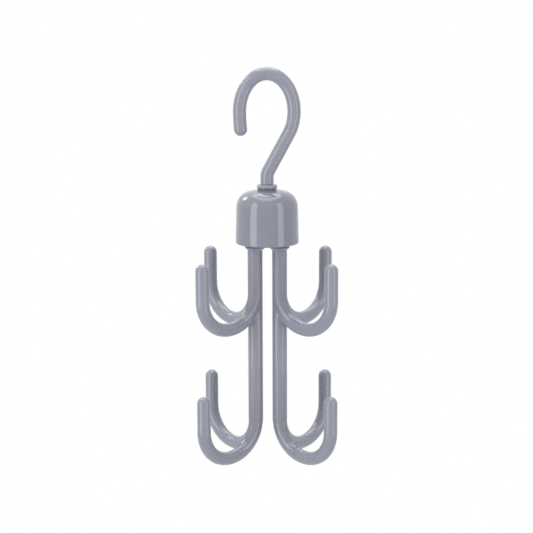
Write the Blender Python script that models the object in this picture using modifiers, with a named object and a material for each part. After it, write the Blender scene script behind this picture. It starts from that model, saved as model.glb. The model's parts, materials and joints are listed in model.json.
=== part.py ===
"""Rotating closet hook.

A question-mark hook hangs on a closet rail and carries a domed housing that swivels under it. Two stems hang
from the housing's base plate, and each turns on its own upright axis. Each stem has two tiers of claws, one
claw turned to the front and one to the rear.

Metres, +Z up, +X to the right of the front view, +Y to the rear. The origin is the rail seat: the inside top
of the hook's arch, where the rail touches it.
"""

import math

import bmesh
import bpy
from mathutils import Vector

# Hook that goes over the closet rail
RAIL_DIAMETER = 0.025
RAIL_SIDE_ROOM = 0.0010
HOOK_ROD_RADIUS = 0.00425
ARCH_RISE = 0.02375
HOOK_DROP = 0.0464
NECK_CORNER_HEIGHT = 0.0068
NECK_BEND_RADIUS = 0.0090
TIP_LEG_LENGTH = 0.0113
TIP_LEG_BEND_RADIUS = 0.1150

# Collar at the foot of the hook, and the journal that turns in the housing
HOOK_COLLAR_RADIUS = 0.0067
HOOK_COLLAR_HEIGHT = 0.0023
HOOK_COLLAR_EDGE = 0.0010
HOOK_JOURNAL_RADIUS = 0.0036

# Housing, with a dome whose flat crown runs smoothly into the side
HOUSING_HEIGHT = 0.0340
HOUSING_RIM_RADIUS = 0.0204
HOUSING_SHOULDER_RADIUS = 0.0198
DOME_HEIGHT = 0.0111
DOME_POWER = 4
HOUSING_WALL = 0.0024
RIM_EDGE = 0.0005
LEDGE_WIDTH = 0.0010
TOP_BOSS_WALL = 0.0027
TOP_BOSS_DEPTH = 0.0085
SCREW_BOSS_RADIUS = 0.0034
SCREW_BOSS_REACH = 0.0105
SCREW_BOSS_ROOT = 0.0003

# Base plate, held up in the housing by two screws
PLATE_RECESS = 0.0005
PLATE_THICKNESS = 0.0030
PLATE_EDGE = 0.0004
SLEEVE_WALL = 0.0019
SLEEVE_HEIGHT = 0.0060
SLEEVE_FOOT = 0.0014
COUNTERBORE_DEPTH = 0.0016

# Stems
STEM_SPACING = 0.0158
STEM_RADIUS = 0.00484
STEM_COLLAR_RADIUS = 0.0065
STEM_COLLAR_HEIGHT = 0.0009
STEM_COLLAR_EDGE = 0.0003
STEM_CONE_HEIGHT = 0.0016
STEM_JOURNAL_RADIUS = 0.0036
STEM_END_LENGTH = 0.0090
LEFT_STEM_TURN = math.radians(-2.2)
RIGHT_STEM_TURN = math.radians(0.9)

# Claws
CLAW_RADIUS = 0.00432
CLAW_REACH = 0.0459
CLAW_BOWL_DEPTH = 0.0218
CLAW_LEG_LENGTH = 0.0196
CLAW_SPREAD = math.radians(46.5)
CLAW_ROOT_LENGTH = 0.0050
CLAW_ROOT_SINK = 0.0002
UPPER_TIER_DROP = 0.0297
LOWER_TIER_DROP = 0.1155

# Thrust washers between turning faces, and the washers that hold the journals in
THRUST_WASHER_RADIUS = 0.0061
THRUST_WASHER_THICKNESS = 0.0009
RETAINING_WASHER_THICKNESS = 0.0010
HOOK_RETAINING_WASHER_RADIUS = 0.0062
STEM_RETAINING_WASHER_RADIUS = 0.0056

# Pan-head screws with a cross recess
SCREW_RADIUS = 0.0014
SCREW_LENGTH = 0.0080
SCREW_TIP_LENGTH = 0.0012
SCREW_TIP_RADIUS = 0.0005
SCREW_HEAD_RADIUS = 0.0027
SCREW_HEAD_HEIGHT = 0.0016
SCREW_HEAD_EDGE = 0.0006
RECESS_WIDTH = 0.0006
RECESS_LENGTH = 0.0028
RECESS_DEPTH = 0.0008
PILOT_SPARE_DEPTH = 0.0010

# Clearances
SEAT_GAP = 0.0003
RUNNING_GAP = 0.0003
CUT_OVERRUN = 0.0010

# Mesh fineness
ROD_BEVEL_RESOLUTION = 4
CLAW_ROLL_SHARE = 0.25
ARCH_SLANT_STEPS = 11
ARCH_TIP_STEPS = 8
BEND_STEPS = 4
LEG_STEPS = 3
BOWL_STEPS = 12
TIP_STEPS = 3
TIP_END_SHARE = 0.15
ROUND_STEPS = 20
SCREW_STEPS = 16
HOUSING_STEPS = 40
DOME_STEPS = 7
EDGE_STEPS = 3
WELD_DISTANCE = 0.00001
SHARP_ANGLE = math.radians(30)

# Heights from the rail seat downwards
ARCH_HALF_WIDTH = (RAIL_DIAMETER + RAIL_SIDE_ROOM) / 2 + HOOK_ROD_RADIUS
ARCH_CENTRE_Z = HOOK_ROD_RADIUS - ARCH_RISE
COLLAR_TOP_Z = ARCH_CENTRE_Z - HOOK_DROP
COLLAR_BOTTOM_Z = COLLAR_TOP_Z - HOOK_COLLAR_HEIGHT
HOOK_THRUST_TOP_Z = COLLAR_BOTTOM_Z - SEAT_GAP
HOUSING_TOP_Z = HOOK_THRUST_TOP_Z - THRUST_WASHER_THICKNESS - SEAT_GAP
HOUSING_RIM_Z = HOUSING_TOP_Z - HOUSING_HEIGHT
SHOULDER_Z = HOUSING_TOP_Z - DOME_HEIGHT
TOP_BOSS_BOTTOM_Z = HOUSING_TOP_Z - TOP_BOSS_DEPTH
HOOK_JOURNAL_BOTTOM_Z = TOP_BOSS_BOTTOM_Z - SEAT_GAP
HOOK_WASHER_TOP_Z = HOOK_JOURNAL_BOTTOM_Z - SEAT_GAP
HOOK_SCREW_SEAT_Z = HOOK_WASHER_TOP_Z - RETAINING_WASHER_THICKNESS - SEAT_GAP
PLATE_BOTTOM_Z = HOUSING_RIM_Z + PLATE_RECESS
PLATE_TOP_Z = PLATE_BOTTOM_Z + PLATE_THICKNESS
LEDGE_Z = PLATE_TOP_Z + SEAT_GAP
SCREW_BOSS_TOP_Z = HOUSING_TOP_Z - HOUSING_WALL + SCREW_BOSS_ROOT
BASE_SCREW_SEAT_Z = PLATE_BOTTOM_Z + COUNTERBORE_DEPTH - SEAT_GAP
SLEEVE_TOP_Z = PLATE_TOP_Z + SLEEVE_HEIGHT
SLEEVE_BOTTOM_Z = PLATE_BOTTOM_Z - SLEEVE_FOOT
STEM_THRUST_TOP_Z = SLEEVE_BOTTOM_Z - SEAT_GAP
STEM_COLLAR_TOP_Z = STEM_THRUST_TOP_Z - THRUST_WASHER_THICKNESS - SEAT_GAP
STEM_JOURNAL_TOP_Z = SLEEVE_TOP_Z + SEAT_GAP
STEM_WASHER_BOTTOM_Z = STEM_JOURNAL_TOP_Z + SEAT_GAP
STEM_SCREW_SEAT_Z = STEM_WASHER_BOTTOM_Z + RETAINING_WASHER_THICKNESS + SEAT_GAP

# Radii and places that follow from the sizes above
HOOK_BORE_RADIUS = HOOK_JOURNAL_RADIUS + RUNNING_GAP
STEM_BORE_RADIUS = STEM_JOURNAL_RADIUS + RUNNING_GAP
PILOT_RADIUS = SCREW_RADIUS + SEAT_GAP
INNER_WALL_RADIUS = HOUSING_RIM_RADIUS - HOUSING_WALL
INNER_SHOULDER_RADIUS = HOUSING_SHOULDER_RADIUS - HOUSING_WALL
PLATE_POCKET_RADIUS = INNER_WALL_RADIUS + LEDGE_WIDTH
PLATE_RADIUS = PLATE_POCKET_RADIUS - SEAT_GAP
STEM_AXIS_X = STEM_SPACING / 2
ROUND_TURN = 2 * math.pi
HALF_TURN = math.pi
QUARTER_TURN = math.pi / 2

# A claw's section is rolled by a share of one side, so that front and rear claws don't meet edge to edge
ROD_SIDES = 4 + 2 * ROD_BEVEL_RESOLUTION
CLAW_ROLL = ROUND_TURN / ROD_SIDES * CLAW_ROLL_SHARE

# Linear colours, roughness and metallic value of each finish
GREY_PLASTIC = ((0.33, 0.35, 0.41), 0.28, 0.0)
DARK_NYLON = ((0.12, 0.12, 0.13), 0.50, 0.0)
PLATED_STEEL = ((0.60, 0.60, 0.62), 0.30, 1.0)


def clear_scene():
    for item in list(bpy.data.objects):
        bpy.data.objects.remove(item, do_unlink=True)


def add_collection(name):
    collection = bpy.data.collections.new(name)
    bpy.context.scene.collection.children.link(collection)
    return collection


def add_object(name, data, collection):
    item = bpy.data.objects.new(name, data)
    collection.objects.link(item)
    return item


def add_axis(name, x, turn, collection):
    """An empty that stands on an upright joint axis."""
    axis = add_object(name, None, collection)
    axis.location.x = x
    axis.rotation_euler.z = turn
    return axis


def give_finish(item, finish):
    """A material of the object's own, also where it shares its mesh with another."""
    colour, roughness, metallic = finish
    material = bpy.data.materials.new(f"{item.name}_finish")
    material.use_nodes = True
    shader = material.node_tree.nodes["Principled BSDF"]
    shader.inputs["Base Color"].default_value = (*colour, 1)
    shader.inputs["Roughness"].default_value = roughness
    shader.inputs["Metallic"].default_value = metallic
    if not item.data.materials:
        item.data.materials.append(None)
    item.material_slots[0].link = "OBJECT"
    item.material_slots[0].material = material


def evaluated_mesh(item):
    """The welded mesh that an object's curve or modifiers give, with its faces pointing out."""
    bpy.context.view_layer.update()
    depsgraph = bpy.context.evaluated_depsgraph_get()
    mesh = bpy.data.meshes.new_from_object(item.evaluated_get(depsgraph))
    form = bmesh.new()
    form.from_mesh(mesh)
    bmesh.ops.remove_doubles(form, verts=form.verts, dist=WELD_DISTANCE)
    bmesh.ops.recalc_face_normals(form, faces=form.faces)
    form.to_mesh(mesh)
    form.free()
    mesh.name = item.name
    mesh.shade_smooth()
    mesh.set_sharp_from_angle(angle=SHARP_ANGLE)
    return mesh


def turn_profile(name, profile, collection, steps=ROUND_STEPS, closed=False):
    """Turn a profile of (radius, height) points about the upright axis, outer side from top to bottom."""
    outline = bpy.data.meshes.new(f"{name}_profile")
    points = [(radius, 0, height) for radius, height in profile]
    edges = [(index, index + 1) for index in range(len(points) - 1)]
    if closed:
        edges.append((len(points) - 1, 0))
    outline.from_pydata(points, edges, [])
    item = add_object(name, outline, collection)
    screw = item.modifiers.new("Turn", "SCREW")
    screw.angle = ROUND_TURN
    screw.steps = steps
    screw.render_steps = steps
    screw.use_merge_vertices = True
    screw.merge_threshold = WELD_DISTANCE
    mesh = evaluated_mesh(item)
    item.modifiers.clear()
    item.data = mesh
    bpy.data.meshes.remove(outline)
    return item


def bend_rod(name, points, radius, shares, collection, roll=0):
    """A round rod along points, with a share of its radius at each of them and its section rolled."""
    curve = bpy.data.curves.new(f"{name}_path", "CURVE")
    curve.dimensions = "3D"
    curve.bevel_depth = radius
    curve.bevel_resolution = ROD_BEVEL_RESOLUTION
    curve.use_fill_caps = True
    spline = curve.splines.new("POLY")
    spline.points.add(len(points) - 1)
    for spot, place, share in zip(spline.points, points, shares):
        spot.co = (*place, 1)
        spot.radius = share
        spot.tilt = roll
    path = add_object(f"{name}_path", curve, collection)
    rod = add_object(name, evaluated_mesh(path), collection)
    rod.matrix_world = path.matrix_world
    bpy.data.objects.remove(path, do_unlink=True)
    return rod


def combine(item, tool, operation):
    """Join a tool's body to a piece or cut it out, and take the tool away."""
    tool.hide_render = True
    tool.display_type = "WIRE"
    boolean = item.modifiers.new("Combine", "BOOLEAN")
    boolean.operation = operation
    boolean.solver = "EXACT"
    boolean.object = tool
    mesh = evaluated_mesh(item)
    item.modifiers.clear()
    item.data = mesh
    bpy.data.objects.remove(tool, do_unlink=True)


def arc(centre_radius, centre_height, width, height, start, end, steps):
    """Points of an elliptical arc in a profile, with angles from the outward direction upwards."""
    points = []
    for step in range(steps + 1):
        angle = start + (end - start) * step / steps
        points.append((centre_radius + width * math.cos(angle), centre_height + height * math.sin(angle)))
    return points


def rounded_tip(end, direction, radius):
    """Points and radius shares of a half-round tip that goes on from a rod's last point."""
    points = []
    shares = []
    for step in range(1, TIP_STEPS + 1):
        angle = QUARTER_TURN * step / TIP_STEPS
        points.append(end + direction * radius * math.sin(angle))
        shares.append(max(math.cos(angle), TIP_END_SHARE))
    return points, shares


def dome_profile(shoulder_radius, height, start_radius):
    """Points down a dome from its hole to its shoulder, as (r/R)^power + (z/h)^2 = 1."""
    start = math.acos((start_radius / shoulder_radius) ** (DOME_POWER / 2))
    points = []
    for step in range(DOME_STEPS + 1):
        angle = start * (1 - step / DOME_STEPS)
        radius = shoulder_radius * math.cos(angle) ** (2 / DOME_POWER)
        points.append((radius, SHOULDER_Z + height * math.sin(angle)))
    return points


def hook_path():
    """Centre line of the hook, from the collar up, over the rail and down the tip leg.

    The arch has a point on its very top, so that the rod touches the rail there.
    """
    corner_drop = HOOK_DROP - NECK_CORNER_HEIGHT
    slant = math.atan(ARCH_HALF_WIDTH / math.sqrt(corner_drop ** 2 - ARCH_RISE ** 2))
    bend_reach = NECK_BEND_RADIUS * math.tan(slant / 2)
    bend_bottom = COLLAR_TOP_Z + NECK_CORNER_HEIGHT - bend_reach
    points = [Vector((0, 0, COLLAR_TOP_Z - HOOK_COLLAR_HEIGHT / 2)), Vector((0, 0, COLLAR_TOP_Z))]
    for step in range(BEND_STEPS + 1):
        angle = slant * step / BEND_STEPS
        x = NECK_BEND_RADIUS * (1 - math.cos(angle))
        points.append(Vector((x, 0, bend_bottom + NECK_BEND_RADIUS * math.sin(angle))))
    arch_start = -math.atan(ARCH_RISE / ARCH_HALF_WIDTH * math.tan(slant))
    slant_side = QUARTER_TURN - arch_start
    angles = [arch_start + slant_side * step / ARCH_SLANT_STEPS for step in range(ARCH_SLANT_STEPS)]
    angles += [QUARTER_TURN + QUARTER_TURN * step / ARCH_TIP_STEPS for step in range(ARCH_TIP_STEPS + 1)]
    for angle in angles:
        x = ARCH_HALF_WIDTH * math.cos(angle)
        points.append(Vector((x, 0, ARCH_CENTRE_Z + ARCH_RISE * math.sin(angle))))
    leg_turn = TIP_LEG_LENGTH / TIP_LEG_BEND_RADIUS
    for step in range(1, LEG_STEPS + 1):
        angle = leg_turn * step / LEG_STEPS
        x = TIP_LEG_BEND_RADIUS * (1 - math.cos(angle)) - ARCH_HALF_WIDTH
        points.append(Vector((x, 0, ARCH_CENTRE_Z - TIP_LEG_BEND_RADIUS * math.sin(angle))))
    end_direction = Vector((math.sin(leg_turn), 0, -math.cos(leg_turn)))
    return points, end_direction


def make_hook(parts, tools):
    """Bent rod, collar and journal in one moulding, with a pilot hole for the screw below."""
    pilot_top = HOOK_SCREW_SEAT_Z + SCREW_LENGTH + PILOT_SPARE_DEPTH
    edge_radius = HOOK_COLLAR_RADIUS - HOOK_COLLAR_EDGE
    collar_middle = COLLAR_TOP_Z - HOOK_COLLAR_HEIGHT / 2
    half_height = HOOK_COLLAR_HEIGHT / 2
    steps = 2 * EDGE_STEPS
    rim = arc(edge_radius, collar_middle, HOOK_COLLAR_EDGE, half_height, QUARTER_TURN, -QUARTER_TURN, steps)
    profile = [(0, COLLAR_TOP_Z)] + rim
    profile.append((HOOK_JOURNAL_RADIUS, COLLAR_BOTTOM_Z))
    profile.append((HOOK_JOURNAL_RADIUS, HOOK_JOURNAL_BOTTOM_Z))
    profile.append((PILOT_RADIUS, HOOK_JOURNAL_BOTTOM_Z))
    profile.append((PILOT_RADIUS, pilot_top))
    profile.append((0, pilot_top))
    hook = turn_profile("hanging_hook", profile, parts)
    points, end_direction = hook_path()
    tip_points, tip_shares = rounded_tip(points[-1], end_direction, HOOK_ROD_RADIUS)
    shares = [1] * len(points) + tip_shares
    combine(hook, bend_rod("hook_rod", points + tip_points, HOOK_ROD_RADIUS, shares, tools), "UNION")
    return hook


def make_housing(parts, tools):
    """Domed shell with a boss around the hook's bore and two screw bosses for the base plate."""
    outer = dome_profile(HOUSING_SHOULDER_RADIUS, DOME_HEIGHT, HOOK_BORE_RADIUS)
    rim_radius = HOUSING_RIM_RADIUS - RIM_EDGE
    rim = arc(rim_radius, HOUSING_RIM_Z + RIM_EDGE, RIM_EDGE, RIM_EDGE, 0, -QUARTER_TURN, EDGE_STEPS)
    pocket = [(PLATE_POCKET_RADIUS, HOUSING_RIM_Z), (PLATE_POCKET_RADIUS, LEDGE_Z)]
    pocket.append((INNER_WALL_RADIUS, LEDGE_Z))
    boss_radius = HOOK_BORE_RADIUS + TOP_BOSS_WALL
    inner = dome_profile(INNER_SHOULDER_RADIUS, DOME_HEIGHT - HOUSING_WALL, boss_radius)
    boss = [(boss_radius, TOP_BOSS_BOTTOM_Z), (HOOK_BORE_RADIUS, TOP_BOSS_BOTTOM_Z)]
    profile = outer + rim + pocket + inner[::-1] + boss
    housing = turn_profile("housing", profile, parts, HOUSING_STEPS, closed=True)
    pilot_top = BASE_SCREW_SEAT_Z + SCREW_LENGTH + PILOT_SPARE_DEPTH
    for side in (-1, 1):
        boss_profile = [
            (0, SCREW_BOSS_TOP_Z),
            (SCREW_BOSS_RADIUS, SCREW_BOSS_TOP_Z),
            (SCREW_BOSS_RADIUS, LEDGE_Z),
            (PILOT_RADIUS, LEDGE_Z),
            (PILOT_RADIUS, pilot_top),
            (0, pilot_top),
        ]
        screw_boss = turn_profile("screw_boss", boss_profile, tools)
        screw_boss.location.y = side * SCREW_BOSS_REACH
        combine(housing, screw_boss, "UNION")
    return housing


def make_base_plate(parts, tools):
    """Round plate with two bearing sleeves and two counterbored screw holes."""
    edge_radius = PLATE_RADIUS - PLATE_EDGE
    profile = [
        (0, PLATE_TOP_Z),
        (edge_radius, PLATE_TOP_Z),
        (PLATE_RADIUS, PLATE_TOP_Z - PLATE_EDGE),
        (PLATE_RADIUS, PLATE_BOTTOM_Z + PLATE_EDGE),
        (edge_radius, PLATE_BOTTOM_Z),
        (0, PLATE_BOTTOM_Z),
    ]
    plate = turn_profile("base_plate", profile, parts, HOUSING_STEPS)
    sleeve_radius = STEM_BORE_RADIUS + SLEEVE_WALL
    sleeve = [(0, SLEEVE_TOP_Z), (sleeve_radius, SLEEVE_TOP_Z)]
    sleeve += [(sleeve_radius, SLEEVE_BOTTOM_Z), (0, SLEEVE_BOTTOM_Z)]
    bore_top = SLEEVE_TOP_Z + CUT_OVERRUN
    bore_bottom = SLEEVE_BOTTOM_Z - CUT_OVERRUN
    bore = [(0, bore_top), (STEM_BORE_RADIUS, bore_top), (STEM_BORE_RADIUS, bore_bottom), (0, bore_bottom)]
    hole_top = PLATE_TOP_Z + CUT_OVERRUN
    hole_bottom = PLATE_BOTTOM_Z - CUT_OVERRUN
    counterbore_top = PLATE_BOTTOM_Z + COUNTERBORE_DEPTH
    counterbore_radius = SCREW_HEAD_RADIUS + SEAT_GAP
    hole = [
        (0, hole_top),
        (PILOT_RADIUS, hole_top),
        (PILOT_RADIUS, counterbore_top),
        (counterbore_radius, counterbore_top),
        (counterbore_radius, hole_bottom),
        (0, hole_bottom),
    ]
    for side in (-1, 1):
        sleeve_body = turn_profile("sleeve", sleeve, tools)
        sleeve_body.location.x = side * STEM_AXIS_X
        combine(plate, sleeve_body, "UNION")
        bore_cut = turn_profile("bore", bore, tools)
        bore_cut.location.x = side * STEM_AXIS_X
        combine(plate, bore_cut, "DIFFERENCE")
        hole_cut = turn_profile("screw_hole", hole, tools)
        hole_cut.location.y = side * SCREW_BOSS_REACH
        combine(plate, hole_cut, "DIFFERENCE")
    return plate


def make_claw(name, tier_z, turn, tools):
    """A J-shaped claw that leaves the stem downwards, rounds its bowl and rises to a half-round tip."""
    root_share = (STEM_RADIUS - CLAW_ROOT_SINK) / CLAW_RADIUS
    points = [Vector((0, 0, tier_z + CLAW_ROOT_LENGTH))]
    shares = [root_share]
    for step in range(BOWL_STEPS + 1):
        angle = HALF_TURN * step / BOWL_STEPS
        x = CLAW_REACH / 2 * (1 - math.cos(angle))
        points.append(Vector((x, 0, tier_z - CLAW_BOWL_DEPTH * math.sin(angle))))
        shares.append(1 + (root_share - 1) * max(math.cos(angle), 0))
    end = Vector((CLAW_REACH, 0, tier_z + CLAW_LEG_LENGTH))
    points.append(end)
    shares.append(1)
    tip_points, tip_shares = rounded_tip(end, Vector((0, 0, 1)), CLAW_RADIUS)
    claw = bend_rod(name, points + tip_points, CLAW_RADIUS, shares + tip_shares, tools, CLAW_ROLL)
    claw.rotation_euler.z = turn
    return claw


def make_stem(name, parts, tools):
    """Journal, collar, rod and four claws in one moulding, with a pilot hole for the screw above."""
    pilot_bottom = STEM_SCREW_SEAT_Z - SCREW_LENGTH - PILOT_SPARE_DEPTH
    edge_top = STEM_COLLAR_TOP_Z - STEM_COLLAR_EDGE
    cone_top = STEM_COLLAR_TOP_Z - STEM_COLLAR_HEIGHT
    upper_tier_z = STEM_COLLAR_TOP_Z - UPPER_TIER_DROP
    lower_tier_z = STEM_COLLAR_TOP_Z - LOWER_TIER_DROP
    profile = [
        (0, pilot_bottom),
        (PILOT_RADIUS, pilot_bottom),
        (PILOT_RADIUS, STEM_JOURNAL_TOP_Z),
        (STEM_JOURNAL_RADIUS, STEM_JOURNAL_TOP_Z),
        (STEM_JOURNAL_RADIUS, STEM_COLLAR_TOP_Z),
        (STEM_COLLAR_RADIUS - STEM_COLLAR_EDGE, STEM_COLLAR_TOP_Z),
        (STEM_COLLAR_RADIUS, edge_top),
        (STEM_COLLAR_RADIUS, cone_top),
        (STEM_RADIUS, cone_top - STEM_CONE_HEIGHT),
    ]
    profile += arc(0, lower_tier_z, STEM_RADIUS, STEM_END_LENGTH, 0, -QUARTER_TURN, EDGE_STEPS)
    stem = turn_profile(name, profile, parts)
    for tier_z in (upper_tier_z, lower_tier_z):
        for turn in (-CLAW_SPREAD, CLAW_SPREAD):
            combine(stem, make_claw("claw", tier_z, turn, tools), "UNION")
    return stem


def make_ring(name, inner_radius, outer_radius, top_z, thickness, parts):
    bottom_z = top_z - thickness
    profile = [(inner_radius, top_z), (outer_radius, top_z)]
    profile += [(outer_radius, bottom_z), (inner_radius, bottom_z)]
    return turn_profile(name, profile, parts, closed=True)


def make_screw(name, parts, tools):
    """Pan-head screw that points down, with its head's underside at height zero."""
    head_top = [(0, SCREW_HEAD_HEIGHT)]
    head_radius = SCREW_HEAD_RADIUS - SCREW_HEAD_EDGE
    head_edge = SCREW_HEAD_HEIGHT - SCREW_HEAD_EDGE
    head_top += arc(head_radius, head_edge, SCREW_HEAD_EDGE, SCREW_HEAD_EDGE, QUARTER_TURN, 0, EDGE_STEPS)
    profile = head_top + [
        (SCREW_HEAD_RADIUS, 0),
        (SCREW_RADIUS, 0),
        (SCREW_RADIUS, SCREW_TIP_LENGTH - SCREW_LENGTH),
        (SCREW_TIP_RADIUS, -SCREW_LENGTH),
        (0, -SCREW_LENGTH),
    ]
    screw = turn_profile(name, profile, parts, SCREW_STEPS)
    for turn in (0, QUARTER_TURN):
        bpy.ops.mesh.primitive_cube_add(size=1)
        slot = bpy.context.object
        slot.scale = (RECESS_LENGTH, RECESS_WIDTH, 2 * RECESS_DEPTH)
        slot.location.z = SCREW_HEAD_HEIGHT
        slot.rotation_euler.z = turn
        combine(screw, slot, "DIFFERENCE")
    return screw


def copy_piece(source, name, collection):
    """Another piece with the same mesh, in its own object."""
    return add_object(name, source.data, collection)


def place(item, parent, x=0, y=0, z=0, tilt=0, turn=0):
    item.parent = parent
    item.location = (x, y, z)
    item.rotation_euler = (tilt, 0, turn)
    return item


def build():
    clear_scene()
    parts = add_collection("rotating_closet_hook")
    tools = add_collection("cutters")

    hook_axis = add_axis("hook_axis", 0, 0, parts)
    swivel_axis = add_axis("swivel_axis", 0, 0, parts)
    swivel_axis.parent = hook_axis
    left_axis = add_axis("left_stem_axis", -STEM_AXIS_X, LEFT_STEM_TURN, parts)
    right_axis = add_axis("right_stem_axis", STEM_AXIS_X, RIGHT_STEM_TURN, parts)
    left_axis.parent = swivel_axis
    right_axis.parent = swivel_axis

    # Hook, and what holds it in the housing
    hook = place(make_hook(parts, tools), hook_axis)
    hook_washer = make_ring(
        "hook_retaining_washer",
        PILOT_RADIUS,
        HOOK_RETAINING_WASHER_RADIUS,
        HOOK_WASHER_TOP_Z,
        RETAINING_WASHER_THICKNESS,
        parts,
    )
    place(hook_washer, hook_axis)
    hook_screw = make_screw("hook_screw", parts, tools)
    place(hook_screw, hook_axis, z=HOOK_SCREW_SEAT_Z, tilt=HALF_TURN)

    # Housing and base plate
    housing = place(make_housing(parts, tools), swivel_axis)
    plate = place(make_base_plate(parts, tools), swivel_axis)
    hook_thrust = make_ring(
        "hook_thrust_washer",
        HOOK_BORE_RADIUS,
        THRUST_WASHER_RADIUS,
        HOOK_THRUST_TOP_Z,
        THRUST_WASHER_THICKNESS,
        parts,
    )
    place(hook_thrust, swivel_axis)
    base_screws = []
    for name, side in (("base_screw_front", -1), ("base_screw_rear", 1)):
        screw = copy_piece(hook_screw, name, parts)
        reach = side * SCREW_BOSS_REACH
        base_screws.append(place(screw, swivel_axis, y=reach, z=BASE_SCREW_SEAT_Z, tilt=HALF_TURN))

    # Stems, each with its thrust washer, retaining washer and screw
    right_stem = make_stem("right_stem", parts, tools)
    right_thrust = make_ring(
        "right_thrust_washer",
        STEM_BORE_RADIUS,
        THRUST_WASHER_RADIUS,
        STEM_THRUST_TOP_Z,
        THRUST_WASHER_THICKNESS,
        parts,
    )
    right_washer = make_ring(
        "right_retaining_washer",
        PILOT_RADIUS,
        STEM_RETAINING_WASHER_RADIUS,
        STEM_WASHER_BOTTOM_Z + RETAINING_WASHER_THICKNESS,
        RETAINING_WASHER_THICKNESS,
        parts,
    )
    right_screw = copy_piece(hook_screw, "right_screw", parts)
    left_stem = copy_piece(right_stem, "left_stem", parts)
    left_thrust = copy_piece(right_thrust, "left_thrust_washer", parts)
    left_washer = copy_piece(right_washer, "left_retaining_washer", parts)
    left_screw = copy_piece(hook_screw, "left_screw", parts)
    place(right_stem, right_axis)
    place(left_stem, left_axis, turn=HALF_TURN)
    for item, axis in (
        (right_thrust, right_axis),
        (right_washer, right_axis),
        (left_thrust, left_axis),
        (left_washer, left_axis),
    ):
        place(item, axis)
    place(right_screw, right_axis, z=STEM_SCREW_SEAT_Z)
    place(left_screw, left_axis, z=STEM_SCREW_SEAT_Z)

    for item in (hook, housing, plate, right_stem, left_stem):
        give_finish(item, GREY_PLASTIC)
    for item in (hook_thrust, right_thrust, left_thrust):
        give_finish(item, DARK_NYLON)
    for item in (hook_washer, right_washer, left_washer, hook_screw, right_screw, left_screw, *base_screws):
        give_finish(item, PLATED_STEEL)


build()
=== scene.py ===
"""Looks of the rotating closet hook: grey mouldings, dark washers and screws in a white studio."""

import json
import math

import bpy
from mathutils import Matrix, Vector


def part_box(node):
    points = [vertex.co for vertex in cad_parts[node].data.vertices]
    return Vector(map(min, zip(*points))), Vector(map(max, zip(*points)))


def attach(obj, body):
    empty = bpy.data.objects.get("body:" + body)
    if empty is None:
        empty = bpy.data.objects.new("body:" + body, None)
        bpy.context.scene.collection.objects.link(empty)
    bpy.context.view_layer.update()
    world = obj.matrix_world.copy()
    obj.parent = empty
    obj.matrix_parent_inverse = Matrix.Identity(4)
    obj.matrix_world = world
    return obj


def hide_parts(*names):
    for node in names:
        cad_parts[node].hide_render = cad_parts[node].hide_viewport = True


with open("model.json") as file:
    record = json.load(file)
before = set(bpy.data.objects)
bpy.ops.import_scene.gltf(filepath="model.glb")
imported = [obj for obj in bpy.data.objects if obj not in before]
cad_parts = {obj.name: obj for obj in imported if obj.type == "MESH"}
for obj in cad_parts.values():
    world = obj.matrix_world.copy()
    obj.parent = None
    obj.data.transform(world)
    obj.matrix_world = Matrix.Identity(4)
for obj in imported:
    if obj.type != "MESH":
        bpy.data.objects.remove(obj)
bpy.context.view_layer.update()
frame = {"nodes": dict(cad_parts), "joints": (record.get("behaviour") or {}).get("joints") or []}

MM = 0.001

# Hook that goes over the rail. All lengths are in metres, as in the model
HOOK_ROD_RADIUS = 0.00425
ARCH_HALF_WIDTH = 0.01725
ARCH_RISE = 0.02375
HOOK_DROP = 0.0464
NECK_CORNER_HEIGHT = 0.0068
NECK_BEND_RADIUS = 0.0090
TIP_LEG_LENGTH = 0.0113
TIP_LEG_BEND_RADIUS = 0.1150
HOOK_COLLAR_RADIUS = 0.0067
HOOK_COLLAR_HEIGHT = 0.0023
HOOK_COLLAR_EDGE = 0.0010
COLLAR_CHIN = 0.0009
COLLAR_SHOULDER = 0.0017
COLLAR_LEAN = 0.3
COLLAR_STEPS = 15
COLLAR_SEAT = 0.0002
HOOK_JOURNAL_RADIUS = 0.0036
NECK_GROOVE_DEPTH = 0.00035
NECK_GROOVE_HEIGHT = 0.00055

# Housing and base plate
HOUSING_SHOULDER_RADIUS = 0.0198
DOME_HEIGHT = 0.0111
DOME_POWER = 4
HOUSING_WALL = 0.0024
RIM_EDGE = 0.0006
RIM_EDGE_HEIGHT = 0.0006
WALL_SHARES = (0.03, 0.5, 0.97)
SEAT_RADIUS = 0.0063
SEAT_SLOPE = 0.0015
SEAT_RISE = 0.00022
LEDGE_WIDTH = 0.0010
PLATE_THICKNESS = 0.0030
PLATE_RECESS = 0.0005
PLATE_ROOM = 0.0003
PLATE_EDGE = 0.0004
SLEEVE_RADIUS = 0.0058
SLEEVE_EDGE = 0.0003
COUNTERBORE_RADIUS = 0.0030
COUNTERBORE_DEPTH = 0.0016
SCREW_REACH = 0.0105
BORE_RADIUS = 0.0039
PILOT_RADIUS = 0.0017

# Stems and claws
STEM_RADIUS = 0.00484
STEM_COLLAR_RADIUS = 0.0065
STEM_COLLAR_HEIGHT = 0.0009
STEM_COLLAR_EDGE = 0.0007
STEM_CONE_HEIGHT = 0.0016
CONE_FOOT_SINK = 0.0001
CONE_MIDDLE_RISE = 0.00005
STEM_JOURNAL_RADIUS = 0.0036
LEFT_STEM_TURN = math.radians(-2.2)
RIGHT_STEM_TURN = math.radians(0.9)
CLAW_RADIUS = 0.00432
CLAW_REACH = 0.0459
CLAW_BOWL_DEPTH = 0.0218
CLAW_LEG_LENGTH = 0.0196
CLAW_SPREAD = math.radians(46.5)
CLAW_ROOT_LENGTH = 0.0050
CLAW_ROOT_SINK = 0.00015
STEM_END_LENGTH = 0.0090
UPPER_TIER_DROP = 0.0297
LOWER_TIER_DROP = 0.1155

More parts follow.
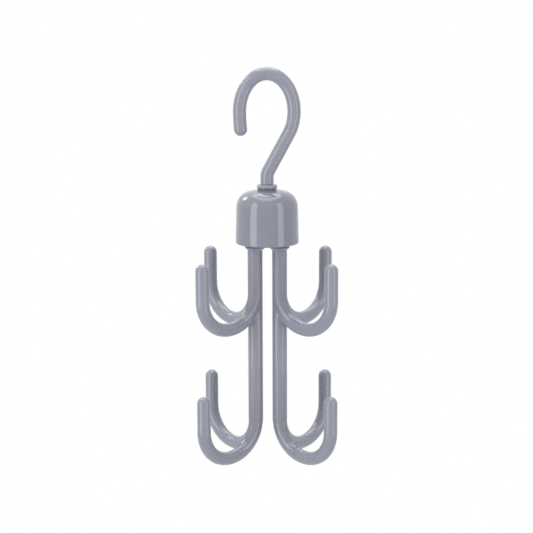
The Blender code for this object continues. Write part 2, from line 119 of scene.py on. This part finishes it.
# Thrust washers, whose solids leave a gap of 0.3 mm to what they turn on
WASHER_EDGE = 0.00015
WASHER_SEAT = 0.00025
RING_SEAT = 0.00005

# Screws under the base plate
SCREW_SHANK_RADIUS = 0.0014
SCREW_HEAD_RADIUS = 0.0027
SCREW_HEAD_HEIGHT = 0.0016
SCREW_HEAD_EDGE = 0.0006
RECESS_WIDTH = 0.00055
RECESS_LENGTH = 0.0028
RECESS_DEPTH = 0.0009

# Mesh fineness
ROD_SIDES = 48
HOOK_SIDES = 96
HOUSING_SIDES = 160
ROUND_SIDES = 96
ARCH_STEPS = 180
BEND_STEPS = 32
LEG_STEPS = 16
BOWL_STEPS = 48
TIP_STEPS = 16
TIP_END_SHARE = 0.03
DOME_STEPS = 28
EDGE_STEPS = 5
RIM_STEPS = 10
STEM_END_STEPS = 10
STEM_VOXEL = 0.00044
STEM_SMOOTHING = 5
SMOOTHING_FACTOR = 0.5
WELD_DISTANCE = 0.000002
CREASE_ANGLE = math.radians(35)

# What smoothing takes off the rods' radius, and the room the claws keep to the solids' box
MELT_SHRINK = 0.00002
BOX_ROOM = 0.0001

# Finishes: the sizes of their patterns, and how they shine
FLOW_CLOUD = 14 * MM
HANDLING_MARK = 5 * MM
MARK_FAINT, MARK_STRONG = 0.35, 0.7
MARK_DULLING = 0.04
HOUSING_ROUGHNESS = 0.08
ROD_ROUGHNESS = 0.14
PLASTIC_IOR = 1.53
WASHER_MOTTLE = 1.6 * MM
NYLON_ROUGHNESS = 0.42
PLATING_BRIGHT, PLATING_DULL = 0.24, 0.38

# Orange peel and plating grain, drawn as coarse as they need to be to show in a picture
ORANGE_PEEL = 2.2 * MM
PEEL_DEPTH = 0.1 * MM
PEEL_STRENGTH = 0.004
PLATING_GRAIN = 0.8 * MM
GRAIN_FAINT, GRAIN_STRONG = 0.3, 0.7

# Sockets of a Mix node that mixes colours, given by number because their names come twice
MIX_FIRST, MIX_SECOND, MIX_RESULT = 6, 7, 2

# Camera of the photograph
CAMERA_LENS = 94.0
CAMERA_SENSOR = 36.0
CAMERA_PLACE = (0.00006, -0.88305, 0.0533)
CAMERA_PITCH = math.radians(11.071)
CAMERA_ROLL = math.radians(0.20)

# Studio: a dim room with a white backdrop, and a floor that keeps the object's shadow
ROOM_LEVEL = 0.32
BACKDROP_START, BACKDROP_FULL = 0.40, 0.68
FLOOR_Z = -0.75
FLOOR_SIZE = 6
FLOOR_SETBACK = 1
FLOOR_ROUGHNESS = 0.9
SHADOW_INNER, SHADOW_OUTER = 0.30, 0.90

# Ways round and places that follow from the frame
HALF_TURN = math.pi
QUARTER_TURN = math.pi / 2
RAIL_SEAT = 0.0
ARCH_CENTRE_Z = RAIL_SEAT + HOOK_ROD_RADIUS - ARCH_RISE
COLLAR_TOP_Z = ARCH_CENTRE_Z - HOOK_DROP
JOINT_PLACES = {joint["name"]: Vector(joint["pos_m"]) for joint in frame["joints"]}


def deselect():
    bpy.ops.object.select_all(action="DESELECT")


def edit():
    bpy.ops.object.mode_set(mode="EDIT")


def leave_edit():
    bpy.ops.object.mode_set(mode="OBJECT")


def activate(piece):
    deselect()
    piece.select_set(True)
    bpy.context.view_layer.objects.active = piece


def add_circle(name, radius, place, sides):
    """A ring of edges, lying level, left in edit mode with all of it selected."""
    deselect()
    bpy.ops.mesh.primitive_circle_add(vertices=sides, radius=radius, location=place)
    ring = bpy.context.object
    ring.name = name
    ring.data.name = name
    edit()
    bpy.ops.mesh.select_all(action="SELECT")
    return ring


def close_faces():
    """Welds what lies together and turns all faces outwards, in edit mode."""
    bpy.ops.mesh.select_all(action="SELECT")
    bpy.ops.mesh.remove_doubles(threshold=WELD_DISTANCE)
    bpy.ops.mesh.normals_make_consistent(inside=False)


def settle(piece):
    """Puts a piece's place into its mesh and shades it smooth, with creases kept."""
    activate(piece)
    bpy.ops.object.transform_apply(location=True, rotation=True, scale=True)
    bpy.ops.object.shade_smooth_by_angle(angle=CREASE_ANGLE)
    return piece


def apply_modifier(piece, modifier):
    activate(piece)
    bpy.ops.object.modifier_apply(modifier=modifier.name)


def combine(piece, tool, operation):
    """Joins a tool to a piece or cuts it out, and takes the tool away."""
    boolean = piece.modifiers.new("Combine", "BOOLEAN")
    boolean.operation = operation
    boolean.solver = "EXACT"
    boolean.object = tool
    apply_modifier(piece, boolean)
    bpy.data.objects.remove(tool, do_unlink=True)


def extrude_to(offset):
    bpy.ops.mesh.extrude_region_move(TRANSFORM_OT_translate={"value": offset})


def arc(radius, height, width, rise, start, end, steps=EDGE_STEPS):
    """Points of an elliptical arc in a profile of (radius, height), angles from outward to up."""
    points = []
    for step in range(steps + 1):
        angle = start + (end - start) * step / steps
        points.append((radius + width * math.cos(angle), height + rise * math.sin(angle)))
    return points


def turn_piece(name, profile, sides=ROUND_SIDES, closed=False, place=(0, 0)):
    """A turned piece: a circle raised ring by ring through a profile of (radius, height) points."""
    x, y = place
    radius, height = profile[0]
    piece = add_circle(name, radius, (x, y, height), sides)
    if not closed:
        bpy.ops.mesh.edge_face_add()
    for next_radius, next_height in profile[1:]:
        extrude_to((0, 0, next_height - height))
        share = next_radius / radius
        bpy.ops.transform.resize(value=(share, share, 1), center_override=(x, y, next_height))
        radius, height = next_radius, next_height
    if closed:
        select_open_rings()
        bpy.ops.mesh.bridge_edge_loops()
    close_faces()
    leave_edit()
    return piece


def select_open_rings():
    """Selects the edges of a shell's open rings, in edit mode."""
    bpy.ops.mesh.select_mode(type="EDGE")
    bpy.ops.mesh.select_all(action="DESELECT")
    bpy.ops.mesh.select_non_manifold()


def headings(points):
    """Angle of a path in the XZ plane at each of its points, from straight up towards +X."""
    steps = [after - before for before, after in zip(points, points[1:])]
    angles = [math.atan2(step.x, step.z) for step in steps]
    for index in range(1, len(angles)):
        turned = angles[index] - angles[index - 1]
        angles[index] -= 2 * HALF_TURN * round(turned / (2 * HALF_TURN))
    middles = [(before + after) / 2 for before, after in zip(angles, angles[1:])]
    return [angles[0]] + middles + [angles[-1]]


def sweep_rod(name, points, radii, sides=ROD_SIDES):
    """A rod: a circle carried along a path in the XZ plane, turned and sized at each point."""
    ways = headings(points)
    rod = add_circle(name, radii[0], points[0], sides)
    bpy.ops.mesh.edge_face_add()
    bpy.ops.transform.rotate(value=-ways[0], orient_axis="Y", center_override=points[0])
    for index in range(1, len(points)):
        point = points[index]
        extrude_to(point - points[index - 1])
        turned = ways[index] - ways[index - 1]
        bpy.ops.transform.rotate(value=-turned, orient_axis="Y", center_override=point)
        share = radii[index] / radii[index - 1]
        bpy.ops.transform.resize(value=(share, share, share), center_override=point)
    close_faces()
    leave_edit()
    return rod


def round_off(points, radii, way):
    """Adds the points and radii of a half-round tip to a rod's path."""
    end, radius = points[-1], radii[-1]
    for step in range(1, TIP_STEPS + 1):
        angle = QUARTER_TURN * step / TIP_STEPS
        points.append(end + way * radius * math.sin(angle))
        radii.append(radius * max(math.cos(angle), TIP_END_SHARE))


def hook_path():
    """Centre line of the hook, from inside the collar up, over the rail and down the tip leg."""
    corner_drop = HOOK_DROP - NECK_CORNER_HEIGHT
    slant = math.atan(ARCH_HALF_WIDTH / math.sqrt(corner_drop ** 2 - ARCH_RISE ** 2))
    bend_bottom = COLLAR_TOP_Z + NECK_CORNER_HEIGHT - NECK_BEND_RADIUS * math.tan(slant / 2)
    points = [Vector((0, 0, COLLAR_TOP_Z - HOOK_COLLAR_HEIGHT / 2)), Vector((0, 0, COLLAR_TOP_Z))]
    for step in range(BEND_STEPS + 1):
        angle = slant * step / BEND_STEPS
        x = NECK_BEND_RADIUS * (1 - math.cos(angle))
        points.append(Vector((x, 0, bend_bottom + NECK_BEND_RADIUS * math.sin(angle))))
    arch_start = -math.atan(ARCH_RISE / ARCH_HALF_WIDTH * math.tan(slant))
    for step in range(ARCH_STEPS + 1):
        angle = arch_start + (HALF_TURN - arch_start) * step / ARCH_STEPS
        x = ARCH_HALF_WIDTH * math.cos(angle)
        points.append(Vector((x, 0, ARCH_CENTRE_Z + ARCH_RISE * math.sin(angle))))
    leg_turn = TIP_LEG_LENGTH / TIP_LEG_BEND_RADIUS
    for step in range(1, LEG_STEPS + 1):
        angle = leg_turn * step / LEG_STEPS
        x = TIP_LEG_BEND_RADIUS * (1 - math.cos(angle)) - ARCH_HALF_WIDTH
        points.append(Vector((x, 0, ARCH_CENTRE_Z - TIP_LEG_BEND_RADIUS * math.sin(angle))))
    radii = [HOOK_ROD_RADIUS] * len(points)
    round_off(points, radii, Vector((math.sin(leg_turn), 0, -math.cos(leg_turn))))
    return points, radii


def make_hook():
    """Bent rod with the round collar at its foot and the journal below it."""
    collar_foot = COLLAR_TOP_Z - HOOK_COLLAR_HEIGHT - COLLAR_SEAT
    widest = collar_foot + COLLAR_CHIN
    chin_radius = HOOK_COLLAR_RADIUS - HOOK_COLLAR_EDGE
    rim = arc(chin_radius, widest, HOOK_COLLAR_EDGE, COLLAR_CHIN, -QUARTER_TURN, 0)
    rise = (COLLAR_TOP_Z - widest) / (1 - math.sin(COLLAR_LEAN))
    crown = arc(
        HOOK_COLLAR_RADIUS - COLLAR_SHOULDER * math.cos(COLLAR_LEAN),
        COLLAR_TOP_Z - rise,
        COLLAR_SHOULDER,
        rise,
        COLLAR_LEAN,
        QUARTER_TURN,
        COLLAR_STEPS,
    )
    journal_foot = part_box("hanging_hook")[0].z
    profile = [(HOOK_JOURNAL_RADIUS, journal_foot), (HOOK_JOURNAL_RADIUS, collar_foot)]
    collar = turn_piece("hook_moulding", profile + rim + crown[1:])
    points, radii = hook_path()
    combine(collar, sweep_rod("hook_rod", points, radii, HOOK_SIDES), "UNION")
    groove_radius = HOOK_ROD_RADIUS - NECK_GROOVE_DEPTH
    groove = [
        (groove_radius, COLLAR_TOP_Z),
        (HOOK_COLLAR_RADIUS, COLLAR_TOP_Z),
        (HOOK_COLLAR_RADIUS, COLLAR_TOP_Z + NECK_GROOVE_HEIGHT),
        (groove_radius, COLLAR_TOP_Z + NECK_GROOVE_HEIGHT),
    ]
    combine(collar, turn_piece("neck_groove", groove, closed=True), "DIFFERENCE")
    return settle(collar)


def make_housing():
    """Domed shell with the rounded rim, the pocket for the base plate and the hollow above it."""
    low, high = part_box("housing")
    rim_radius = high.x
    shoulder_z = high.z - DOME_HEIGHT
    ledge_z = low.z + PLATE_RECESS + PLATE_THICKNESS + PLATE_ROOM
    inner_radius = rim_radius - HOUSING_WALL
    pocket_radius = inner_radius + LEDGE_WIDTH

    def dome(shoulder_radius, rise):
        start = math.acos((BORE_RADIUS / shoulder_radius) ** (DOME_POWER / 2))
        points = []
        for step in range(DOME_STEPS + 1):
            angle = start * step / DOME_STEPS
            radius = shoulder_radius * math.cos(angle) ** (2 / DOME_POWER)
            points.append((radius, shoulder_z + rise * math.sin(angle)))
        return points

    rim = arc(
        rim_radius - RIM_EDGE,
        low.z + RIM_EDGE_HEIGHT,
        RIM_EDGE,
        RIM_EDGE_HEIGHT,
        -QUARTER_TURN,
        0,
        RIM_STEPS,
    )
    outer = dome(HOUSING_SHOULDER_RADIUS, DOME_HEIGHT)
    inner = dome(HOUSING_SHOULDER_RADIUS - HOUSING_WALL, DOME_HEIGHT - HOUSING_WALL)[::-1]
    pocket = [(inner_radius, ledge_z), (pocket_radius, ledge_z), (pocket_radius, low.z)]
    outer = [point for point in outer if point[0] > SEAT_RADIUS + SEAT_SLOPE]
    outer += [(SEAT_RADIUS, high.z + SEAT_RISE), (BORE_RADIUS, high.z + SEAT_RISE)]
    foot, head = Vector(rim[-1]), Vector(outer[0])
    wall = [tuple(foot.lerp(head, share)) for share in WALL_SHARES]
    profile = rim + wall + outer + inner + pocket
    return settle(turn_piece("housing_shell", profile, HOUSING_SIDES, closed=True))


def make_base_plate():
    """Round plate with the two bearing sleeves' feet and two counterbored screw holes."""
    low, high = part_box("base_plate")
    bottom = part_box("housing")[0].z + PLATE_RECESS
    top = bottom + PLATE_THICKNESS
    profile = [
        (high.x - PLATE_EDGE, bottom),
        (high.x, bottom + PLATE_EDGE),
        (high.x, top - PLATE_EDGE),
        (high.x - PLATE_EDGE, top),
    ]
    plate = turn_piece("base_plate_moulding", profile, HOUSING_SIDES)
    edge = SLEEVE_EDGE
    foot = arc(SLEEVE_RADIUS - edge, low.z + edge, edge, edge, -QUARTER_TURN, 0)
    bore_profile = [(BORE_RADIUS, low.z - MM), (BORE_RADIUS, high.z + MM)]
    for name in ("left_stem_turn", "right_stem_turn"):
        x = JOINT_PLACES[name].x
        sleeve = turn_piece("sleeve", foot + [(SLEEVE_RADIUS, high.z)], place=(x, 0))
        combine(plate, sleeve, "UNION")
        combine(plate, turn_piece("bore", bore_profile, place=(x, 0)), "DIFFERENCE")
    hole_profile = [
        (COUNTERBORE_RADIUS, bottom - MM),
        (COUNTERBORE_RADIUS, bottom + COUNTERBORE_DEPTH),
        (PILOT_RADIUS, bottom + COUNTERBORE_DEPTH),
        (PILOT_RADIUS, top + MM),
    ]
    for y in (-SCREW_REACH, SCREW_REACH):
        combine(plate, turn_piece("screw_hole", hole_profile, place=(0, y)), "DIFFERENCE")
    return settle(plate)


def claw_path(tier_z):
    """Centre line and radii of a claw: out of the stem, round its bowl and up to a rounded tip."""
    root_radius = STEM_RADIUS + MELT_SHRINK - CLAW_ROOT_SINK
    claw_radius = CLAW_RADIUS + MELT_SHRINK
    reach = CLAW_REACH - BOX_ROOM
    bowl_depth = CLAW_BOWL_DEPTH - BOX_ROOM
    points = [Vector((0, 0, tier_z + CLAW_ROOT_LENGTH))]
    radii = [root_radius]
    for step in range(BOWL_STEPS + 1):
        angle = HALF_TURN * step / BOWL_STEPS
        x = reach / 2 * (1 - math.cos(angle))
        points.append(Vector((x, 0, tier_z - bowl_depth * math.sin(angle))))
        radii.append(claw_radius + (root_radius - claw_radius) * max(math.cos(angle), 0))
    for step in range(1, LEG_STEPS + 1):
        points.append(Vector((reach, 0, tier_z + CLAW_LEG_LENGTH * step / LEG_STEPS)))
        radii.append(claw_radius)
    round_off(points, radii, Vector((0, 0, 1)))
    return points, radii


def make_stem_rod(collar_top):
    """Stem rod with its four claws, melted into one surface so that they run smoothly out of it."""
    top = collar_top - STEM_COLLAR_HEIGHT
    lower_tier = collar_top - LOWER_TIER_DROP
    radius = STEM_RADIUS + MELT_SHRINK
    end = arc(0, lower_tier, radius, STEM_END_LENGTH, -QUARTER_TURN, 0, STEM_END_STEPS)[1:]
    rod = turn_piece("stem_rod", end + [(radius, top)], ROD_SIDES)
    for tier_z in (collar_top - UPPER_TIER_DROP, lower_tier):
        for turn in (-CLAW_SPREAD, CLAW_SPREAD):
            points, radii = claw_path(tier_z)
            claw = sweep_rod("claw", points, radii)
            place_turned(claw, Vector((0, 0, 0)), turn)
            combine(rod, claw, "UNION")
    remesh = rod.modifiers.new("Melt", "REMESH")
    remesh.mode = "VOXEL"
    remesh.voxel_size = STEM_VOXEL
    apply_modifier(rod, remesh)
    smooth = rod.modifiers.new("Smooth", "SMOOTH")
    smooth.factor = SMOOTHING_FACTOR
    smooth.iterations = STEM_SMOOTHING
    apply_modifier(rod, smooth)
    return rod


def make_stem_head(collar_top):
    """Journal, collar and the cone under it, down to where it fades into the rod."""
    cone_top = collar_top - STEM_COLLAR_HEIGHT
    cone_foot = cone_top - STEM_CONE_HEIGHT
    journal_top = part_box("right_stem")[1].z
    profile = [
        (STEM_RADIUS - CONE_FOOT_SINK, cone_foot - STEM_CONE_HEIGHT),
        (STEM_RADIUS + CONE_MIDDLE_RISE, cone_foot),
        (STEM_COLLAR_RADIUS, cone_top),
    ]
    edge = STEM_COLLAR_EDGE
    profile += arc(STEM_COLLAR_RADIUS - edge, collar_top - edge, edge, edge, 0, QUARTER_TURN)
    profile += [(STEM_JOURNAL_RADIUS, collar_top), (STEM_JOURNAL_RADIUS, journal_top)]
    return turn_piece("stem_head", profile)


def place_turned(piece, place, turn):
    """Turns a piece about the upright axis and moves it, and keeps both in its mesh."""
    activate(piece)
    piece.rotation_euler.z += turn
    piece.location = piece.location + place
    bpy.ops.object.transform_apply(location=True, rotation=True, scale=True)


def make_stems():
    """Both stems: one moulding, and its copy turned half round."""
    collar_top = JOINT_PLACES["right_stem_turn"].z
    right = make_stem_rod(collar_top)
    combine(right, make_stem_head(collar_top), "UNION")
    right.name = "right_stem_moulding"
    left = right.copy()
    left.data = right.data.copy()
    left.name = "left_stem_moulding"
    bpy.context.scene.collection.objects.link(left)
    right_place = Vector((JOINT_PLACES["right_stem_turn"].x, 0, 0))
    left_place = Vector((JOINT_PLACES["left_stem_turn"].x, 0, 0))
    place_turned(right, right_place, RIGHT_STEM_TURN)
    place_turned(left, left_place, LEFT_STEM_TURN + HALF_TURN)
    return settle(left), settle(right)


def make_washer(name, node, gap_below, gap_above):
    """Flat ring with broken edges, which takes up most of the gaps below and above its solid."""
    low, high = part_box(node)
    radius = (high.x - low.x) / 2
    place = ((high.x + low.x) / 2, (high.y + low.y) / 2)
    bottom, top = low.z - gap_below, high.z + gap_above
    profile = [
        (BORE_RADIUS, bottom),
        (radius - WASHER_EDGE, bottom),
        (radius, bottom + WASHER_EDGE),
        (radius, top - WASHER_EDGE),
        (radius - WASHER_EDGE, top),
        (BORE_RADIUS, top),
    ]
    return settle(turn_piece(name, profile, closed=True, place=place))


def make_screw(name, node):
    """Pan head with a cross recess, seen from below, and its shank."""
    low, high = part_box(node)
    x, y = (high.x + low.x) / 2, (high.y + low.y) / 2
    seat = low.z + SCREW_HEAD_HEIGHT
    edge = SCREW_HEAD_EDGE
    head = arc(SCREW_HEAD_RADIUS - edge, low.z + edge, edge, edge, -QUARTER_TURN, 0)
    shank = [(SCREW_SHANK_RADIUS, seat), (SCREW_SHANK_RADIUS, high.z)]
    screw = turn_piece(name, head + [(SCREW_HEAD_RADIUS, seat)] + shank, place=(x, y))
    for turn in (0, QUARTER_TURN):
        deselect()
        bpy.ops.mesh.primitive_cube_add(size=1, location=(x, y, low.z), rotation=(0, 0, turn))
        slot = bpy.context.object
        slot.scale = (RECESS_LENGTH, RECESS_WIDTH, 2 * RECESS_DEPTH)
        activate(slot)
        bpy.ops.object.transform_apply(location=True, rotation=True, scale=True)
        combine(screw, slot, "DIFFERENCE")
    return settle(screw)


def colour(hex_value):
    """An sRGB hex colour as linear red, green, blue and alpha."""
    channels = []
    for place in (0, 2, 4):
        value = int(hex_value[place:place + 2], 16) / 255
        channels.append(value / 12.92 if value <= 0.04045 else ((value + 0.055) / 1.055) ** 2.4)
    return (*channels, 1)


def add_node(tree, kind, settings=None, links=()):
    """A node with its settings by name, and its links, each as (input, node, output)."""
    node = tree.nodes.new(kind)
    for name, value in (settings or {}).items():
        if hasattr(node, name):
            setattr(node, name, value)
        else:
            node.inputs[name].default_value = value
    for name, source, output in links:
        tree.links.new(source.outputs[output], node.inputs[name])
    return node


def new_material(name):
    material = bpy.data.materials.new(name)
    material.use_nodes = True
    return material, material.node_tree, material.node_tree.nodes["Principled BSDF"]


def make_moulded_abs(name, dark, light, roughness):
    """Glossy moulded ABS: cool grey with faint flow clouds, handling marks and orange peel."""
    material, tree, shader = new_material(name)
    shader.inputs["IOR"].default_value = PLASTIC_IOR
    place = add_node(tree, "ShaderNodeTexCoord")
    clouds = add_node(
        tree,
        "ShaderNodeTexNoise",
        {"Scale": 1 / FLOW_CLOUD, "Detail": 3.0, "Roughness": 0.5},
        [("Vector", place, "Object")],
    )
    tint = add_node(
        tree,
        "ShaderNodeMix",
        {"data_type": "RGBA"},
        [(0, clouds, "Fac")],
    )
    tint.inputs[MIX_FIRST].default_value = colour(dark)
    tint.inputs[MIX_SECOND].default_value = colour(light)
    tree.links.new(tint.outputs[MIX_RESULT], shader.inputs["Base Color"])
    rub = add_node(
        tree,
        "ShaderNodeTexNoise",
        {"Scale": 1 / HANDLING_MARK, "Detail": 5.0, "Roughness": 0.65},
        [("Vector", place, "Object")],
    )
    gloss = add_node(
        tree,
        "ShaderNodeMapRange",
        {
            "From Min": MARK_FAINT,
            "From Max": MARK_STRONG,
            "To Min": roughness,
            "To Max": roughness + MARK_DULLING,
        },
        [("Value", rub, "Fac")],
    )
    tree.links.new(gloss.outputs["Result"], shader.inputs["Roughness"])
    peel = add_node(
        tree,
        "ShaderNodeTexNoise",
        {"Scale": 1 / ORANGE_PEEL, "Detail": 2.0, "Roughness": 0.5},
        [("Vector", place, "Object")],
    )
    bump = add_node(
        tree,
        "ShaderNodeBump",
        {"Strength": PEEL_STRENGTH, "Distance": PEEL_DEPTH},
        [("Height", peel, "Fac")],
    )
    tree.links.new(bump.outputs["Normal"], shader.inputs["Normal"])
    return material


def make_nylon():
    """Dark nylon washer stock: satin, mottled in dark and light grey."""
    material, tree, shader = new_material("nylon_dark")
    shader.inputs["IOR"].default_value = PLASTIC_IOR
    place = add_node(tree, "ShaderNodeTexCoord")
    mottle = add_node(
        tree,
        "ShaderNodeTexNoise",
        {"Scale": 1 / WASHER_MOTTLE, "Detail": 3.0, "Roughness": 0.6},
        [("Vector", place, "Object")],
    )
    tint = add_node(
        tree,
        "ShaderNodeMix",
        {"data_type": "RGBA"},
        [(0, mottle, "Fac")],
    )
    tint.inputs[MIX_FIRST].default_value = colour("4A4644")
    tint.inputs[MIX_SECOND].default_value = colour("A6A39F")
    tree.links.new(tint.outputs[MIX_RESULT], shader.inputs["Base Color"])
    shader.inputs["Roughness"].default_value = NYLON_ROUGHNESS
    return material


def make_zinc():
    """Bright zinc plating on steel screws and washers: a cool metal with a faint brushed grain."""
    material, tree, shader = new_material("zinc_plated_steel")
    shader.inputs["Metallic"].default_value = 1.0
    place = add_node(tree, "ShaderNodeTexCoord")
    grain = add_node(
        tree,
        "ShaderNodeTexNoise",
        {"Scale": 1 / PLATING_GRAIN, "Detail": 3.0, "Roughness": 0.6},
        [("Vector", place, "Object")],
    )
    gloss = add_node(
        tree,
        "ShaderNodeMapRange",
        {
            "From Min": GRAIN_FAINT,
            "From Max": GRAIN_STRONG,
            "To Min": PLATING_BRIGHT,
            "To Max": PLATING_DULL,
        },
        [("Value", grain, "Fac")],
    )
    tree.links.new(gloss.outputs["Result"], shader.inputs["Roughness"])
    shader.inputs["Base Color"].default_value = colour("C4C8CC")
    return material


def paint(piece, material):
    piece.data.materials.clear()
    piece.data.materials.append(material)


def make_camera():
    data = bpy.data.cameras.new("photo_camera")
    data.lens = CAMERA_LENS
    data.sensor_width = CAMERA_SENSOR
    camera = bpy.data.objects.new("photo_camera", data)
    camera.location = CAMERA_PLACE
    camera.rotation_euler = (QUARTER_TURN - CAMERA_PITCH, CAMERA_ROLL, 0)
    bpy.context.scene.collection.objects.link(camera)
    bpy.context.scene.camera = camera


def add_softbox(name, place, target, size, power, oval=False):
    """A rectangular or oval studio light of a given size and power, turned to its target."""
    data = bpy.data.lights.new(name, "AREA")
    data.shape = "ELLIPSE" if oval else "RECTANGLE"
    data.size, data.size_y = size
    data.energy = power
    lamp = bpy.data.objects.new(name, data)
    lamp.location = place
    lamp.rotation_euler = (Vector(target) - Vector(place)).to_track_quat("-Z", "Y").to_euler()
    bpy.context.scene.collection.objects.link(lamp)


def background_rays(tree):
    """1 for the rays that see the background: the camera's, and those mirrored or let through."""
    path = add_node(tree, "ShaderNodeLightPath")
    mirrored = add_node(
        tree,
        "ShaderNodeMath",
        {"operation": "MAXIMUM"},
        [(0, path, "Is Glossy Ray"), (1, path, "Is Transmission Ray")],
    )
    return add_node(
        tree,
        "ShaderNodeMath",
        {"operation": "MAXIMUM"},
        [(0, path, "Is Camera Ray"), (1, mirrored, 0)],
    )


def make_world():
    """A dim room with a white backdrop lights the object, which is seen before plain white."""
    world = bpy.data.worlds.new("studio")
    bpy.context.scene.world = world
    world.use_nodes = True
    # The room is even, so its light needs no map of bright spots, and thin rods show less grain
    world.cycles.sampling_method = "NONE"
    tree = world.node_tree
    output = tree.nodes["World Output"]
    room = tree.nodes["Background"]
    room.inputs["Color"].default_value = colour("FFFFFF")
    way = add_node(tree, "ShaderNodeTexCoord")
    part = add_node(tree, "ShaderNodeSeparateXYZ", {}, [("Vector", way, "Generated")])
    level = add_node(
        tree,
        "ShaderNodeMapRange",
        {
            "interpolation_type": "SMOOTHSTEP",
            "From Min": BACKDROP_START,
            "From Max": BACKDROP_FULL,
            "To Min": ROOM_LEVEL,
            "To Max": 1.0,
        },
        [("Value", part, "Y")],
    )
    tree.links.new(level.outputs["Result"], room.inputs["Strength"])
    white = add_node(tree, "ShaderNodeBackground", {"Color": colour("FFFFFF"), "Strength": 1.0})
    seen = background_rays(tree)
    mix = add_node(tree, "ShaderNodeMixShader", {}, [(0, seen, 0), (1, room, 0), (2, white, 0)])
    tree.links.new(mix.outputs[0], output.inputs["Surface"])


def make_floor():
    """White studio floor, far below the hanging object, which keeps the object's soft shadow."""
    deselect()
    bpy.ops.mesh.primitive_plane_add(size=FLOOR_SIZE, location=(0, FLOOR_SETBACK, FLOOR_Z))
    floor = bpy.context.object
    floor.name = "studio_floor"
    material, tree, shader = new_material("white_floor")
    shader.inputs["Base Color"].default_value = colour("F4F4F4")
    shader.inputs["Roughness"].default_value = FLOOR_ROUGHNESS
    place = add_node(tree, "ShaderNodeTexCoord")
    distance = add_node(
        tree,
        "ShaderNodeVectorMath",
        {"operation": "DISTANCE"},
        [(0, place, "Object")],
    )
    distance.inputs[1].default_value = (0, -FLOOR_SETBACK, 0)
    away = add_node(
        tree,
        "ShaderNodeMapRange",
        {
            "interpolation_type": "SMOOTHSTEP",
            "From Min": SHADOW_INNER,
            "From Max": SHADOW_OUTER,
        },
        [("Value", distance, "Value")],
    )
    share = add_node(
        tree,
        "ShaderNodeMath",
        {"operation": "MULTIPLY"},
        [(0, background_rays(tree), 0), (1, away, "Result")],
    )
    glow = add_node(tree, "ShaderNodeEmission", {"Color": colour("FFFFFF"), "Strength": 1.0})
    mix = add_node(tree, "ShaderNodeMixShader", {}, [(0, share, 0), (1, shader, 0), (2, glow, 0)])
    tree.links.new(mix.outputs[0], tree.nodes["Material Output"].inputs["Surface"])
    paint(floor, material)


make_camera()
make_world()
make_floor()

# Each light's place, target, width and height, and power
add_softbox("left_softbox", (-0.70, -0.57, 0.06), (0, 0, 0.06), (0.40, 1.20), 4.9)
add_softbox("right_softbox", (0.70, -0.57, 0.06), (0, 0, 0.06), (0.36, 1.20), 3.2)
add_softbox("rear_left_softbox", (-0.66, 0.51, 0.46), (0, 0, -0.08), (0.30, 0.26), 1.6)
add_softbox("overhead_softbox", (0.0, 0.32, 0.73), (0, 0.32, -0.08), (0.80, 1.46), 7.4, oval=True)

bpy.context.scene.view_settings.view_transform = "Standard"

# One grey plastic in two copies, to match how lit the pieces look: painted shade makes the
# housing's a shade darker, and painted light makes the hook's and stems' a shade lighter. The
# housing's is also shinier
housing_plastic_painted_shade = make_moulded_abs("moulded_abs_grey_painted_shade", "888C98", "9093A0", HOUSING_ROUGHNESS)
rod_plastic_painted_light = make_moulded_abs("moulded_abs_grey_painted_light", "9094A1", "989BA9", ROD_ROUGHNESS)
nylon = make_nylon()
zinc = make_zinc()

hook = make_hook()
housing = make_housing()
plate = make_base_plate()
left_stem, right_stem = make_stems()
hook_ring = make_washer("hook_ring", "hook_thrust_washer", RING_SEAT, RING_SEAT)
left_ring = make_washer("left_stem_ring", "left_thrust_washer", WASHER_SEAT, 0)
right_ring = make_washer("right_stem_ring", "right_thrust_washer", WASHER_SEAT, 0)
front_screw = make_screw("front_plate_screw", "base_screw_front")
rear_screw = make_screw("rear_plate_screw", "base_screw_rear")

for piece, body, node, material, slot in (
    (hook, "hook_body", "hanging_hook", rod_plastic_painted_light, "grey_plastic"),
    (housing, "housing_body", "housing", housing_plastic_painted_shade, "grey_plastic"),
    (plate, "housing_body", "base_plate", housing_plastic_painted_shade, "grey_plastic"),
    (left_stem, "left_stem_body", "left_stem", rod_plastic_painted_light, "grey_plastic"),
    (right_stem, "right_stem_body", "right_stem", rod_plastic_painted_light, "grey_plastic"),
    (hook_ring, "housing_body", "hook_thrust_washer", nylon, "dark_nylon"),
    (left_ring, "left_stem_body", "left_thrust_washer", nylon, "dark_nylon"),
    (right_ring, "right_stem_body", "right_thrust_washer", nylon, "dark_nylon"),
    (front_screw, "housing_body", "base_screw_front", zinc, "plated_steel"),
    (rear_screw, "housing_body", "base_screw_rear", zinc, "plated_steel"),
):
    paint(piece, material)
    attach(piece, body)
    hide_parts(node)

for name in (
    "hook_retaining_washer",
    "hook_screw",
    "left_retaining_washer",
    "left_screw",
    "right_retaining_washer",
    "right_screw",
):
    paint(frame["nodes"][name], zinc)
